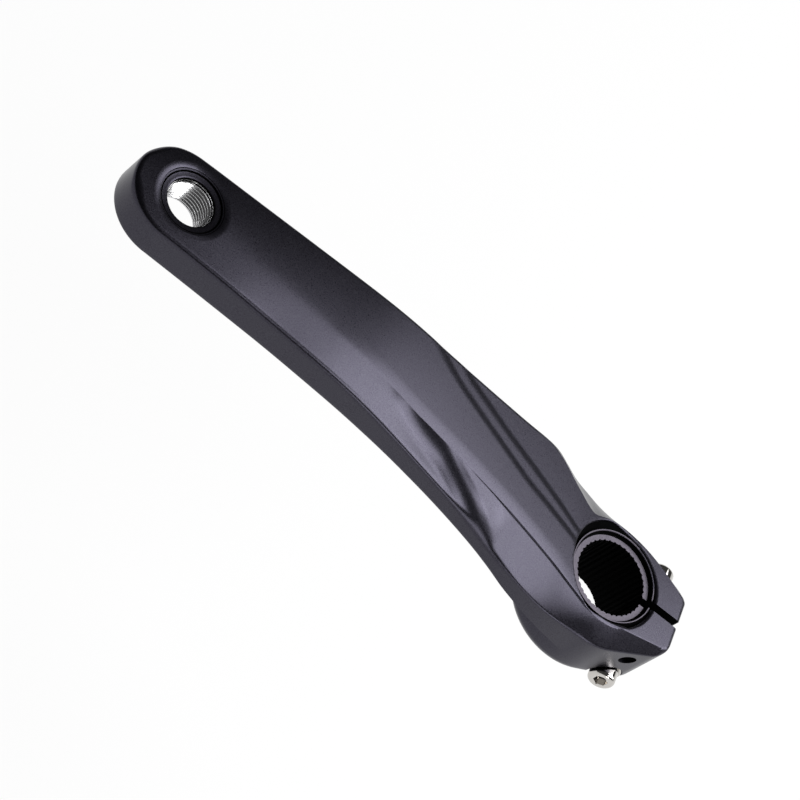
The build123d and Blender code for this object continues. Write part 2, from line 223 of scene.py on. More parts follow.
# The forged arm, in mm on the solid's main sizes, with its reliefs softer. A list of pairs is a curve of (x, value)
armForm = {
    # heights of the face and the underside, place of the ridge, half widths, heights of the two long edges
    "faceHeight": [(-32, 25.2), (-15, 26.1), (0, 27.2), (8, 28.2), (20, 30.6), (40, 34.8), (60, 38.9), (80, 42.6),
                   (100, 45.6), (120, 47.3), (145, 49.0), (170, 50.2), (194, 50.4)],
    "underHeight": [(-32, 7.0), (-6, 8.0), (0, 10.3), (10, 13.2), (20, 16.2), (40, 21.7), (60, 26.1), (80, 30.0),
                    (100, 33.2), (120, 34.95), (145, 36.0), (170, 36.8), (194, 37.2)],
    "ridge": [(-32, 8.6), (-15, 12.8), (-4, 15.3), (3, 16.2), (13, 14.4), (23, 12.4), (43, 10.0), (63, 8.7),
              (83, 7.8), (103, 5.6), (132, 3.5), (194, 0.0)],
    "leftWall": [(0, 21.8), (12, 22.6), (23, 22.4), (33, 21.4), (43, 19.9), (53, 18.8), (63, 18.0), (73, 17.5),
                 (83, 17.1), (96, 16.9), (114, 16.5), (133, 15.8), (153, 15.3), (172.5, 14.85)],
    "rightWall": [(0, 21.8), (10, 22.5), (20, 22.2), (30, 21.7), (40, 20.8), (50, 19.8), (61, 18.9), (69, 18.4),
                  (76, 17.9), (86, 17.6), (95, 17.4), (114, 16.8), (133, 16.0), (153, 15.3), (172.5, 14.85)],
    "leftEdge": [(-32, 24.2), (-23, 23.4), (-19, 22.7), (-14, 22.0), (-9, 21.4), (1, 21.2), (6, 21.6), (16, 22.5),
                 (23, 23.8), (33, 25.9), (43, 28.2), (53, 31.3), (63, 34.1), (73, 36.6), (83, 39.1), (96, 42.3),
                 (104, 43.9), (114, 45.2), (133, 46.6), (150, 48.0), (170, 48.9), (194, 49.2)],
    "rightEdge": [(-32, 22.8), (-23, 22.0), (-19, 21.4), (-14, 20.6), (-9, 19.9), (1, 19.0), (5, 19.2), (10, 19.9),
                  (16, 22.0), (22, 24.4), (28, 28.0), (34, 31.5), (42, 33.0), (60, 36.8), (100, 44.5), (194, 49.5)],
    # far lip, where the face turns down to the far edge
    "lip": [(-32, -6.6), (-23.5, -10.0), (-17, -12.9), (-9, -15.6), (-1, -16.9), (4, -16.7), (8.6, -15.5),
            (13.6, -13.0), (16.5, -13.3), (21, -15.1), (25.4, -17.1), (29, -19.0), (33, -20.9), (37, -22.4),
            (42, -23.9), (50, -25.0), (194, -25.0)],
    # two shallow steps on the face: place, depth, width, shares of the width that they start and end over
    "stepOne": [(-32, 3.0), (10, 2.0), (20.6, 0.2), (30, -1.3), (40, -2.7), (49, -4.8), (59, -7.3), (68, -9.7),
                (73, -11.2), (78, -13.2), (82, -15.2), (88, -18.5), (96, -20.0), (194, -20.0)],
    "stepTwo": [(-32, -3.0), (10, -1.5), (17.6, -2.8), (24, -4.6), (29, -5.8), (38, -7.8), (48, -9.8), (57, -11.9),
                (62, -13.3), (67, -14.6), (72, -16.2), (80, -20.4), (90, -26.0), (194, -26.5)],
    "stepOneDepth": [(-32, 0.0), (4, 0.0), (16, 0.19), (26, 0.25), (74, 0.25), (86, 0.26), (94, 0.0), (194, 0.0)],
    "stepTwoDepth": [(-32, 0.0), (4, 0.0), (16, 0.19), (26, 0.25), (60, 0.25), (70, 0.26), (80, 0.0), (194, 0.0)],
    "stepWidth": [(-32, 2.8), (20, 2.8), (40, 3.2), (70, 3.2), (92, 5.0), (194, 5.0)],
    "stepRamp": (0.6, 0.4),
    # riser that makes the valley on the lower facet: place and width as shares of the facet, depth
    "riserPlace": [(-32, 1.41), (40, 1.31), (44, 1.14), (50, 0.92), (56, 0.7), (62, 0.47), (69, 0.21), (75, 0.11),
                   (82, 0.04), (90, 0.01), (194, 0.01)],
    "riserDepth": [(-32, 0), (37, 0), (40, 0.112), (44, 1.456), (50, 3.36), (56, 4.144), (64, 4.256), (69, 4.032),
                   (75, 3.584), (84, 2.128), (90, 0.784), (97, 0), (194, 0)],
    "riserWidth": 1.05, "riserRamp": (0.42, 0.58),
    # slight belly of the lower facet beside the clamp bore
    "facetBulge": [(-32, 0), (-11, 0), (-3, 0.22), (4, 0.42), (11, 0.38), (20, 0.15), (30, 0), (194, 0)],
    # the ridge: how far the face rolls over beside it, the fine step along it, how softly the sides meet
    "ridgeRoll": [(-32, 0.0), (8, 0.0), (24, 0.25), (45, 0.36), (85, 0.36), (105, 0.1), (115, 0.0), (194, 0.0)],
    "ridgeLine": [(-32, 0.0), (-2, 0.0), (8, 0.3), (56, 0.3), (66, 0.0), (194, 0.0)],
    "rollWidth": 4.5, "lineWidth": 0.5, "lineRamp": (0.4, 0.4), "ridgeInset": 0.3,
    "ridgeEase": [(-32, 0.04), (60, 0.05), (90, 0.05), (110, 0.12), (130, 0.3), (194, 0.5)],
    # fall of the face from the ridge to the far side
    "crown": [(-32, 0.4), (-10, 0.9), (0, 1.1), (10, 0.9), (22, 0.45), (40, 0.35), (70, 0.35), (84, 0.4), (100, 0.5),
              (130, 0.8), (170, 1.2), (194, 1.2)],
    "length": 170.0, "endCenter": 172.5, "endReach": 16.0, "endHalfWidth": 14.85,
    "bossRadius": 21.8, "tangentAngle": 115.5, "lobeEnd": -25.8, "nearCorner": 7.0, "farCorner": 7.0,
    # edge rounding, with what is added on the sides and the tip; pairs are the (middle, span) of a fade, along X
    # or by how far the wall faces that way
    "edgeRound": 0.5, "lobeEndRound": 1.7, "nearSideRound": 1.0, "farSideRound": 0.7, "tipRound": 1.1,
    "underRound": 0.8, "nearSideFrom": (34, 24), "farSideFrom": (40, 20), "underFrom": (32, 10),
    "endFacing": (0.75, 0.4), "sideFacing": (0.4, 0.4), "tipFacing": (0.65, 0.5),
    # past the lip: least fall over the reach, steepest slope, and the run over which the fall sets in
    "lipEase": 3.5, "lipOutside": 0.6, "farFall": 2.0, "farReach": 34.0, "steepest": 3, "leastRun": 0.5,
    "runFade": (1.0, 2.0),
}
# Rows and columns of the arm's grid; a crease is the ridge or the lip, as a share of its column
armGrid = {
    "stepAlong": 1.0, "tip": 33, "bossArc": 10, "corner": 14, "lobeSide": 10, "lobeEnd": 22,
    "inside": 60, "insideEnd": 0.97, "insideFine": [0.985, 1.0],
    "outsideFine": [0.008, 0.016, 0.024, 0.034, 0.046, 0.06], "outsideFrom": 0.08, "outside": 24,
    "rounding": 11, "wall": 12, "underEdge": 5, "under": 12, "halvings": 40,
    "creaseSpan": (0.04, 0.97), "creaseRest": 0.6, "farCreaseFade": (60, 50), "tipCreaseFade": (178, 12),
}


def curveAt(name, x):
    # cubic through the named points, each slope taken from its neighbours and held to three times the chord's
    points = np.array(armForm[name], float)
    px, pv = points[:, 0], points[:, 1]
    x = np.clip(x, px[0], px[-1])
    lo, hi = np.maximum(np.arange(len(px)) - 1, 0), np.minimum(np.arange(len(px)) + 1, len(px) - 1)
    slope = (pv[hi] - pv[lo]) / (px[hi] - px[lo])
    i = np.clip(np.searchsorted(px, x, "right") - 1, 0, len(px) - 2)
    span = px[i + 1] - px[i]
    t = (x - px[i]) / span
    limit = 3 * np.abs((pv[i + 1] - pv[i]) / span)
    s0, s1 = np.clip(slope[i], -limit, limit), np.clip(slope[i + 1], -limit, limit)
    return (pv[i] + (pv[i + 1] - pv[i]) * t * t * (3 - 2 * t)
            + span * (s0 * (t ** 3 - 2 * t * t + t) + s1 * (t ** 3 - t * t)))


def soft(t):
    # smooth step from 0 at -1/2 to 1 at 1/2, level in slope and bend at both ends
    u = np.clip(t + 0.5, 0, 1)
    return u ** 3 * (u * (6 * u - 15) + 10)


def fade(value, middleAndSpan):
    # the same step, from 0 to 1 over a span about a middle value
    middle, span = middleAndSpan
    return soft((value - middle) / span)


def rampStep(t, ramps):
    # step from 0 at t = 0 to 1 at t = 1; its slope grows over the first share, holds, and dies over the last share
    grow, die = ramps

    def half(v):
        return np.maximum(v, 0) ** 2 / 2

    rise = half(t) / grow - half(t - grow) / grow - half(t - 1 + die) / die + half(t - 1) / die
    return rise / (1 - (grow + die) / 2)


tangent = np.radians(armForm["tangentAngle"])
tangentX, tangentY = armForm["bossRadius"] * np.cos(tangent), armForm["bossRadius"] * np.sin(tangent)
lobeSlope = -tangentX / tangentY


def wallAt(name, x):
    # half width at x: straight lobe side, then the boss circle, then the bar's own curve
    circle = np.sqrt(np.maximum(armForm["bossRadius"] ** 2 - np.minimum(x, 0) ** 2, 0))
    lobe = tangentY + lobeSlope * (x - tangentX)
    return np.where(x < tangentX, lobe, np.where(x < 0, circle, curveAt(name, x)))


def ridgeAt(x):
    # the ridge's own curve, kept inside the wall
    return np.minimum(curveAt("ridge", x), wallAt("leftWall", x) - armForm["ridgeInset"])


def lipAt(x):
    # larger of the lip's curve and a line just outside the far wall, eased where they cross
    lip, outside = curveAt("lip", x), -wallAt("rightWall", x) - armForm["lipOutside"]
    return (lip + outside + np.hypot(lip - outside, armForm["lipEase"])) / 2


def upperHeight(x, y):
    # face height less two soft steps, less a crown that falls with the square of the way from the ridge, and less a
    # short parabola that rolls the face over beside the ridge
    ridge, width = ridgeAt(x), curveAt("stepWidth", x)
    height = curveAt("faceHeight", x) - curveAt("crown", x) * ((ridge - y) / (ridge + armForm["endHalfWidth"])) ** 2
    for step in ("stepOne", "stepTwo"):
        past = (curveAt(step, x) - y) / width + 0.5
        height = height - curveAt(step + "Depth", x) * rampStep(past, armForm["stepRamp"])
    near = np.clip(1 - (ridge - y) / armForm["rollWidth"], 0, 1)
    return height - curveAt("ridgeRoll", x) * near ** 2


def faceHeightAt(x, y):
    # outside the ridge a straight fall with a soft riser, a belly and a fine step at its head; inside it the stepped
    # face, and past the lip a straight fall; where the two sides meet the lower one holds, eased over a small height
    top, ridge, wall = curveAt("faceHeight", x), ridgeAt(x), wallAt("leftWall", x)
    t = (y - ridge) / (wall - ridge)
    inFacet, left = np.clip(t, 0, 1), np.clip(1 - t, 0, 1)
    place, width = curveAt("riserPlace", x), armForm["riserWidth"]
    low, high, here = (rampStep((share - place) / width + 0.5, armForm["riserRamp"]) for share in (0, 1, inFacet))
    settled = (here - low) / np.maximum(high - low, 0.001)
    lower = (top + (curveAt("leftEdge", x) - top) * t
             + curveAt("riserDepth", x) * (inFacet - settled)
             + curveAt("facetBulge", x) * 4 * inFacet * left)
    line = rampStep((y - ridge) / armForm["lineWidth"], armForm["lineRamp"])
    lower = lower - (curveAt("ridgeRoll", x) + curveAt("ridgeLine", x) * line) * left
    lip = lipAt(x)
    lipHeight = upperHeight(x, lip)
    run = lip + wallAt("rightWall", x)
    gentle, most = armForm["farFall"] / (armForm["farReach"] + lip), armForm["steepest"]
    steep = np.clip((lipHeight - curveAt("rightEdge", x)) / np.maximum(run, armForm["leastRun"]), -most, most)
    slope = gentle + (steep - gentle) * fade(run, armForm["runFade"])
    far = lipHeight - (lip - y) * slope
    upper = np.where(y < lip, far, upperHeight(x, y))
    return (lower + upper - np.hypot(lower - upper, curveAt("ridgeEase", x))) / 2


def lobeOutline():
    # plan of the clamp lobe from the near tangent point round to the far one: side, corner arc, end, corner arc, side
    endX, near, far = armForm["lobeEnd"], armForm["nearCorner"], armForm["farCorner"]
    cornerSpan = np.linspace(tangent, np.pi, armGrid["corner"])

    def corner(radius):
        # centre of an arc that touches the lobe side and the end line
        cx = endX + radius
        cy = (armForm["bossRadius"] - radius - cx * np.cos(tangent)) / np.sin(tangent)
        return cx + radius * np.cos(cornerSpan), cy + radius * np.sin(cornerSpan)

    nearX, nearY = corner(near)
    farX, farY = corner(far)
    sideX = np.linspace(tangentX, nearX[0], armGrid["lobeSide"])[1:-1]
    sideFarX = np.linspace(tangentX, farX[0], armGrid["lobeSide"])[1:-1]
    endY = np.linspace(nearY[-1], -farY[-1], armGrid["lobeEnd"])[1:-1]
    x = np.concatenate([sideX, nearX, np.full(endY.shape, endX), farX[::-1], sideFarX[::-1]])
    y = np.concatenate([tangentY + lobeSlope * (sideX - tangentX), nearY, endY, -farY[::-1],
                        -(tangentY + lobeSlope * (sideFarX[::-1] - tangentX))])
    return x, y


def planNormals(x, y):
    # outward normal of a closed plan loop run counter-clockwise, from central differences
    dx, dy = np.roll(x, -1) - np.roll(x, 1), np.roll(y, -1) - np.roll(y, 1)
    size = np.hypot(dx, dy)
    return dy / size, -dx / size


def armOutline():
    # counter-clockwise from the pedal end's tip: quarter ellipse, left side, boss arc, lobe, boss arc, right side,
    # quarter ellipse
    count = int(armForm["endCenter"] / armGrid["stepAlong"])
    sideX = np.linspace(armForm["length"], 0, count)
    nearEnd = np.linspace(armForm["endCenter"], armForm["length"], 4)[1:-1]
    turn = np.radians(np.linspace(0, 90, armGrid["tip"]))
    arc = np.radians(np.linspace(90, armForm["tangentAngle"], armGrid["bossArc"]))
    lobeX, lobeY = lobeOutline()
    tipX = armForm["endCenter"] + armForm["endReach"] * np.cos(turn)
    tipY = armForm["endHalfWidth"] * np.sin(turn)
    x = np.concatenate([tipX, nearEnd, sideX[:-1], armForm["bossRadius"] * np.cos(arc), lobeX,
                        armForm["bossRadius"] * np.cos(arc[::-1]), sideX[:-1][::-1], nearEnd[::-1], tipX[:0:-1]])
    y = np.concatenate([tipY, curveAt("leftWall", nearEnd), curveAt("leftWall", sideX[:-1]),
                        armForm["bossRadius"] * np.sin(arc), lobeY, -armForm["bossRadius"] * np.sin(arc[::-1]),
                        -curveAt("rightWall", sideX[:-1][::-1]), -curveAt("rightWall", nearEnd[::-1]), -tipY[:0:-1]])
    return x, y


def armBody():
    # each column runs from the spine over the face to the crease, on to the rounded edge, down the wall and back
    # underneath to the spine; heights come from the facets above and the underside curve below
    px, py = armOutline()
    nx, ny = planNormals(px, py)
    sx = np.clip(px, 0, armForm["length"])
    edge = armForm["edgeRound"] + (armForm["lobeEndRound"] - armForm["edgeRound"]) * fade(-nx, armForm["endFacing"])
    edge = edge + armForm["nearSideRound"] * fade(px, armForm["nearSideFrom"]) * fade(ny, armForm["sideFacing"])
    edge = edge + armForm["farSideRound"] * fade(px, armForm["farSideFrom"]) * fade(-ny, armForm["sideFacing"])
    edge = edge + armForm["tipRound"] * fade(nx, armForm["tipFacing"])
    qx, qy = px - nx * edge, py - ny * edge
    # place of the crease on each column, by halving
    lo, hi = np.zeros_like(px), np.ones_like(px)

    def beyond(t):
        x, y = sx + (qx - sx) * t, qy * t
        return np.where(py >= 0, y - ridgeAt(x), lipAt(x) - y) > 0

    crossed = beyond(hi)
    for _ in range(armGrid["halvings"]):
        mid = (lo + hi) / 2
        past = beyond(mid)
        lo, hi = np.where(past, lo, mid), np.where(past, mid, hi)
    least, most = armGrid["creaseSpan"]
    rest = armGrid["creaseRest"]             # where there is no crease the columns keep to an even share
    crease = np.where(crossed, np.clip(hi, least, most), most)
    crease = np.where(py < 0, crease + (rest - crease) * fade(px, armGrid["farCreaseFade"]), crease)
    crease = crease + (rest - crease) * fade(px, armGrid["tipCreaseFade"])
    inner = np.concatenate([np.linspace(0, armGrid["insideEnd"], armGrid["inside"]), armGrid["insideFine"]])
    outer = np.concatenate([armGrid["outsideFine"], np.linspace(armGrid["outsideFrom"], 1.0, armGrid["outside"])])
    share = np.concatenate([crease[:, None] * inner, crease[:, None] + (1 - crease[:, None]) * outer], 1)
    x, y = sx[:, None] + (qx - sx)[:, None] * share, qy[:, None] * share
    face = np.stack([x, y, faceHeightAt(x, y)], -1)
    # rounded edge: a parabola from the face to the wall that touches both
    t = np.linspace(0, 1, armGrid["rounding"])[1:][None, :, None]
    start = face[:, -1]
    cornerHeight = faceHeightAt(px, py)
    corner = np.stack([px, py, cornerHeight], -1)
    end = np.stack([px, py, cornerHeight - edge], -1)
    rounded = ((1 - t) ** 2 * start[:, None] + 2 * t * (1 - t) * corner[:, None] + t ** 2 * end[:, None])
    # wall, underside edge and underside
    under = armForm["underRound"] * fade(px, armForm["underFrom"])
    floor = curveAt("underHeight", px)
    v = np.linspace(0, 1, armGrid["wall"])[1:]
    wallZ = end[:, 2:3] + (floor + under - end[:, 2])[:, None] * v
    wall = np.stack([np.broadcast_to(px[:, None], wallZ.shape), np.broadcast_to(py[:, None], wallZ.shape), wallZ], -1)
    w = np.linspace(0, 1, armGrid["underEdge"])[1:]
    bx = px[:, None] - nx[:, None] * under[:, None] * w ** 2
    by = py[:, None] - ny[:, None] * under[:, None] * w ** 2
    bz = floor[:, None] + under[:, None] * (1 - w) ** 2
    below = np.stack([bx, by, bz], -1)
    u = np.linspace(0, 1, armGrid["under"])[1:]
    ux = bx[:, -1:] + (sx[:, None] - bx[:, -1:]) * u
    uy = by[:, -1:] * (1 - u)
    bottom = np.stack([ux, uy, curveAt("underHeight", ux)], -1)
    return np.concatenate([face, rounded, wall, below, bottom], 1)


# Boss and clamp lobe below the bar, up to a height hidden inside it
bossForm = {"inset": 0.03, "top": 17.0, "edgeRound": 4.3, "floor": 1.4, "noseRadius": 16.0, "noseRound": 0.3,
            "count": 120, "wallRows": 6, "roundRows": 12}


def bossBody():
    # plan loop carried down: lid, wall, quarter-round edge, floor, raised nose ring, all in from the loop's normal
    turn = np.radians(np.linspace(-armForm["tangentAngle"], armForm["tangentAngle"], bossForm["count"]))
    lobeX, lobeY = lobeOutline()
    px = np.concatenate([armForm["bossRadius"] * np.cos(turn), lobeX])
    py = np.concatenate([armForm["bossRadius"] * np.sin(turn), lobeY])
    nx, ny = planNormals(px, py)
    px, py = px - nx * bossForm["inset"], py - ny * bossForm["inset"]
    angle = np.linspace(0, np.pi / 2, bossForm["roundRows"])
    bend, wallRows = bossForm["edgeRound"], bossForm["wallRows"]
    inward = np.concatenate([np.zeros(wallRows), bend * (1 - np.cos(angle))[1:]])
    height = np.concatenate([np.linspace(bossForm["top"], bossForm["floor"] + bend, wallRows),
                             bossForm["floor"] + bend * (1 - np.sin(angle))[1:]])
    x, y = px[:, None] - nx[:, None] * inward, py[:, None] - ny[:, None] * inward
    rim = np.stack([x, y, np.broadcast_to(height, x.shape)], -1)
    lidShare = np.array([0, 0.5])
    lid = np.stack([px[:, None] * lidShare, py[:, None] * lidShare, np.full((len(px), 2), bossForm["top"])], -1)
    around = np.arctan2(py, px)
    noseR, noseBend = bossForm["noseRadius"], bossForm["noseRound"]
    nose = np.array([(noseR, bossForm["floor"]), (noseR, noseBend), (noseR - 0.3 * noseBend, 0.3 * noseBend),
                     (noseR - noseBend, 0.0), (noseR * 0.8, 0.0), (0.0, 0.0)])
    noseRows = np.stack([np.cos(around)[:, None] * nose[:, 0], np.sin(around)[:, None] * nose[:, 0],
                         np.broadcast_to(nose[:, 1], (len(px), len(nose)))], -1)
    return np.concatenate([lid, rim, noseRows], 1)


def turnedGrid(profile, count, center, axis, reach=None):
    # a profile of (radius, place along the axis) carried round the axis; reach gives a radius that varies round it
    axis, center = np.array(axis, float), np.array(center, float)
    side = np.array([1.0, 0.0, 0.0])
    other = np.cross(axis, side)
    turn = np.linspace(0, 2 * np.pi, count, endpoint=False)
    profile = np.array(profile, float)
    radius = np.broadcast_to(profile[:, 0], (count, len(profile))) if reach is None else reach(turn)
    ring = np.cos(turn)[:, None, None] * side + np.sin(turn)[:, None, None] * other
    return center + radius[:, :, None] * ring + profile[None, :, 1, None] * axis


# Machined ends: (radius, height) pairs from the axis out, "finish" is the finish of the face after each point, out of
# the three given below; past the last pair the wall goes up at "rim" and rolls over into the face, and where the face
# is high the rim moves out by "flare" and rolls by "highRoll" instead
spindleCut = {
    "profile": [(0, 24.3), (13.45, 24.3), (13.8, 24.55), (14.2, 25.65), (14.33, 25.85), (14.58, 25.85),
                (14.72, 25.15), (15.2, 25.15)],
    # rows marked 2 are near-black painted shade: the seat's foot, the step wall, the groove past the lip and the rim
    # wall, where the wall's shade falls
    "finish": [1, 2, 2, 1, 1, 2, 2, 2],
    "rim": 15.3, "flare": 1.4, "roll": 1.4, "highRoll": 0.5, "ease": 0.2, "drop": 0.8,
    # splines: shares of half a tooth up to the end of the flank and of the flank, and of its straight part
    "teeth": 40, "pointsPerTooth": 14, "tip": 11.3, "root": 12.0, "flankEnd": 0.62, "flank": 0.30, "straight": 0.35,
    "top": 25.0, "lead": 0.8, "leadOpen": 0.1, "topLead": 0.45, "topLeadLength": 0.5,
}
pedalCut = {
    "profile": [(0, 20), (7.14, 20), (7.14, 47.1), (7.2, 47.2), (7.2, 47.75), (7.32, 47.95), (7.42, 48.5),
                (7.6, 48.6), (8.2, 48.62), (9.2, 48.78), (9.3, 48.55), (9.55, 48.55), (9.7, 49.13), (10.1, 49.2)],
    # rows marked 2 are near-black painted shade: the hole's lead-in on both sides of the bare chamfer line, the small
    # groove round the floor and the rim wall
    "finish": [1, 1, 2, 2, 1, 2, 2, 0, 0, 2, 2, 2, 0, 2],
    "rim": 10.25, "flare": 0.0, "roll": 2.3, "highRoll": 2.3, "ease": 0.45, "drop": 0.38,
}
# What both share: points round, rows of the roll, how far past the rim the near side's height is read, how far above
# the floor a high face is, least wall, end of the roll over the face, and heights outside the arm
cutGrid = {"count": 144, "rollRows": 7, "nearReach": 2.2, "highFade": (1.2, 1.6), "dropShare": 0.8, "leastWall": 0.05,
           "lift": 0.015, "above": 60.0, "below": -1.0}
slitCut = {"width": 2.7, "offset": 0.45, "mouthRound": 0.9, "roundRows": 9, "innerEnd": -6.0, "open": 0.4,
           "front": 6.0, "pole": 2.2}
boltForm = {
    "x": -17.8, "seats": [(1, 5.2), (-1, 17.3)],      # side of the head and height of each bolt
    "seat": 12.8, "tapped": 2.55, "clearance": 2.7, "spotface": 5.3, "holeReach": 40, "holeStep": 0.4,
    "holeCount": 64,
    "count": 72, "radius": 2.5, "shank": 21.0, "tipBreak": 0.5, "tipDrop": 0.25,
    "pitch": 0.8, "threadDepth": 0.42, "threadLength": 14.0, "threadRows": 150, "leadIn": 0.8, "leadOut": 1.0,
    "headRadius": 4.25, "headHeight": 5.0, "headRound": 1.3, "headBreak": 0.15, "headRows": 8,
    "socket": 4.0, "socketDepth": 2.6, "socketRim": 2.75, "socketMouth": 2.42, "mouthOpen": 0.06,
    "mouthDepths": (0.05, 0.22),
    "washer": 1.0, "washerRadius": 4.9, "washerHole": 2.7, "washerBreak": 0.12,
}


def machinedTool(cut, centerX):
    # fixed rings, then a wall up to just under the face, set further out where the face is high, and a parabola from
    # there out to the face, which ends a hair above it so that the cut meets the face at a clear angle
    turn = np.linspace(0, 2 * np.pi, cutGrid["count"], endpoint=False)[:, None]
    fixed = np.array(cut["profile"], float)
    floor = fixed[-1, 1]

    def heightAt(radius):
        return faceHeightAt(centerX + radius * np.cos(turn), radius * np.sin(turn))

    high = fade(heightAt(cut["rim"] + cutGrid["nearReach"] * soft(np.sin(turn))) - floor, cutGrid["highFade"])
    rim, roll = cut["rim"] + cut["flare"] * high, cut["roll"] + (cut["highRoll"] - cut["roll"]) * high
    rimHeight = heightAt(rim)
    drop = np.minimum(cut["drop"], cutGrid["dropShare"] * np.maximum(rimHeight - floor, cutGrid["leastWall"]))
    t = np.linspace(0, 1, cutGrid["rollRows"])[None, :]
    rollRadius = rim + roll * (2 * cut["ease"] * t * (1 - t) + t ** 2)
    rollHeight = ((1 - t) ** 2 * (rimHeight - drop) + 2 * t * (1 - t) * heightAt(rim + cut["ease"] * roll)
                  + t ** 2 * (heightAt(rim + roll) + cutGrid["lift"]))
    ones = np.ones_like(turn)
    radius = np.concatenate([ones * fixed[:, 0], rollRadius, rollRadius[:, -1:], 0 * ones], 1)
    height = np.concatenate([ones * fixed[:, 1], rollHeight, cutGrid["above"] * np.ones((len(turn), 2))], 1)
    return np.stack([centerX + radius * np.cos(turn), radius * np.sin(turn), height], -1)


def splineTool():
    # prism whose radius is a flat-topped wave round the axis, one wave to a tooth, flanks softly turned
    teeth, straight = spindleCut["teeth"], spindleCut["straight"]
    turn = np.linspace(0, 2 * np.pi, teeth * spindleCut["pointsPerTooth"], endpoint=False)
    phase = np.abs((turn * teeth / (2 * np.pi)) % 1 - 0.5) * 2          # 0 at the middle of a root, 1 at a tip
    wave = np.clip((spindleCut["flankEnd"] - phase) / spindleCut["flank"], 0, 1)
    wave = straight * wave + (1 - straight) * wave * wave * (3 - 2 * wave)
    radius = spindleCut["tip"] + (spindleCut["root"] - spindleCut["tip"]) * wave
    mouth = np.full_like(radius, spindleCut["root"] + spindleCut["leadOpen"])
    opened = np.maximum(radius, spindleCut["tip"] + spindleCut["topLead"])
    seat, below = spindleCut["profile"][0][1], cutGrid["below"]
    radius = np.stack([0 * radius, mouth + 1, mouth, radius, radius, opened, opened, 0 * radius], 1)
    height = np.array([below, below, 0, spindleCut["lead"], seat - spindleCut["topLeadLength"], seat,
                       spindleCut["top"], spindleCut["top"]])
    x, y = np.cos(turn)[:, None] * radius, np.sin(turn)[:, None] * radius
    return np.stack([x, y, np.broadcast_to(height, x.shape)], -1)


def slitTool():
    # straight slot with its mouth corners rounded outwards, seen from a pole in front of the mouth
    half, endX, r = slitCut["width"] / 2, armForm["lobeEnd"], slitCut["mouthRound"]
    turn = np.radians(np.linspace(0, 90, slitCut["roundRows"]))
    arcX, arcY = endX + r - r * np.sin(turn), half + r - r * np.cos(turn)
    upX = np.concatenate([[slitCut["innerEnd"]], arcX, [endX - slitCut["open"], endX - slitCut["front"]]])
    upY = np.concatenate([[half], arcY, [half + r + slitCut["open"]] * 2])
    x = np.concatenate([upX, upX[::-1]])
    y = np.concatenate([upY, -upY[::-1]])
    share = np.array([0, 1, 1, 0])
    height = np.array([cutGrid["below"]] * 2 + [cutGrid["above"]] * 2)
    poleX = endX - slitCut["pole"]
    gx = poleX + (x - poleX)[:, None] * share
    gy = slitCut["offset"] + y[:, None] * share
    return np.stack([gx, gy, np.broadcast_to(height, gx.shape)], -1)


arm = gridObject("crankArmForging", armBody(), [paint])
boss = gridObject("boss", bossBody(), [paint])
carve(arm, boss, "UNION")
# the third finish of each end is the near-black painted shade in its recess
for cut, cutX, cutFinishes in ((spindleCut, 0.0, [paint, seatMetal, paintedShade]),
                               (pedalCut, armForm["length"], [paint, bareMetal, paintedShade])):
    rows = cut["finish"] + [0] * (cutGrid["rollRows"] + 2)        # the rolled rim is painted
    carve(arm, gridObject("machined end", machinedTool(cut, cutX), cutFinishes, rows), "DIFFERENCE")
# the spline teeth and the slit are lined with the near-black painted shade
carve(arm, gridObject("spline", splineTool(), [paintedShade]), "DIFFERENCE")
carve(arm, gridObject("slit", slitTool(), [paintedShade]), "DIFFERENCE")
for boltSide, boltHeight in boltForm["seats"]:
    holeEnd = boltForm["holeReach"]
    steps = [(0, -holeEnd), (boltForm["tapped"], -holeEnd), (boltForm["tapped"], 0),
             (boltForm["clearance"], boltForm["holeStep"]), (boltForm["clearance"], boltForm["seat"]),
             (boltForm["spotface"], boltForm["seat"]), (boltForm["spotface"], holeEnd), (0, holeEnd)]
    hole = turnedGrid(steps, boltForm["holeCount"], (boltForm["x"], 0, boltHeight), (0, boltSide, 0))
    carve(arm, gridObject("bolt hole", hole, [paint]), "DIFFERENCE")
closeMesh(arm.data)
finishShading(arm, 28)
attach(arm, "root")
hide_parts("crank_arm")
print("arm:", len(arm.data.polygons), "faces")

# Pedal thread cut in the bare metal: left-hand V helix, 20 turns to the inch
threadForm = {"outer": 7.3, "major": 7.12, "minor": 6.55, "pitch": 1.27, "bottom": 36.9, "top": 47.15, "lead": 0.7,
              "rootFlat": 0.12, "flank": 0.76, "count": 168, "rowsPerTurn": 22}


def threadLiner():
    # inner radius is a V wave of height plus turn over the pitch, opened out at both ends; the outside is plain
    turns = (threadForm["top"] - threadForm["bottom"]) / threadForm["pitch"]
    rows = int(turns * threadForm["rowsPerTurn"])
    turn = np.linspace(0, 2 * np.pi, threadForm["count"], endpoint=False)[:, None]
    z = np.linspace(threadForm["bottom"], threadForm["top"], rows)[None, :]
    phase = np.abs(((z / threadForm["pitch"] + turn / (2 * np.pi)) % 1) - 0.5) * 2
    crest = np.clip((phase - threadForm["rootFlat"]) / threadForm["flank"], 0, 1)
    lead = (np.clip((threadForm["top"] - z) / threadForm["lead"], 0, 1)
            * np.clip((z - threadForm["bottom"]) / threadForm["lead"], 0, 1))
    radius = threadForm["major"] - (threadForm["major"] - threadForm["minor"]) * crest * lead
    inner = np.stack([radius * np.cos(turn), radius * np.sin(turn), np.broadcast_to(z, radius.shape)], -1)
    outside = np.full((1, 2), threadForm["outer"])
    outerZ = np.array([[threadForm["top"], threadForm["bottom"]]])
    outer = np.stack([outside * np.cos(turn), outside * np.sin(turn), np.broadcast_to(outerZ, (len(turn), 2))], -1)
    return np.concatenate([inner, outer], 1) + np.array([armForm["length"], 0, 0])


thread = gridObject("pedalThread", threadLiner(), [bareMetal], loopRows=True)
finishShading(thread, 40)
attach(thread, "root")
print("thread:", len(thread.data.polygons), "faces")


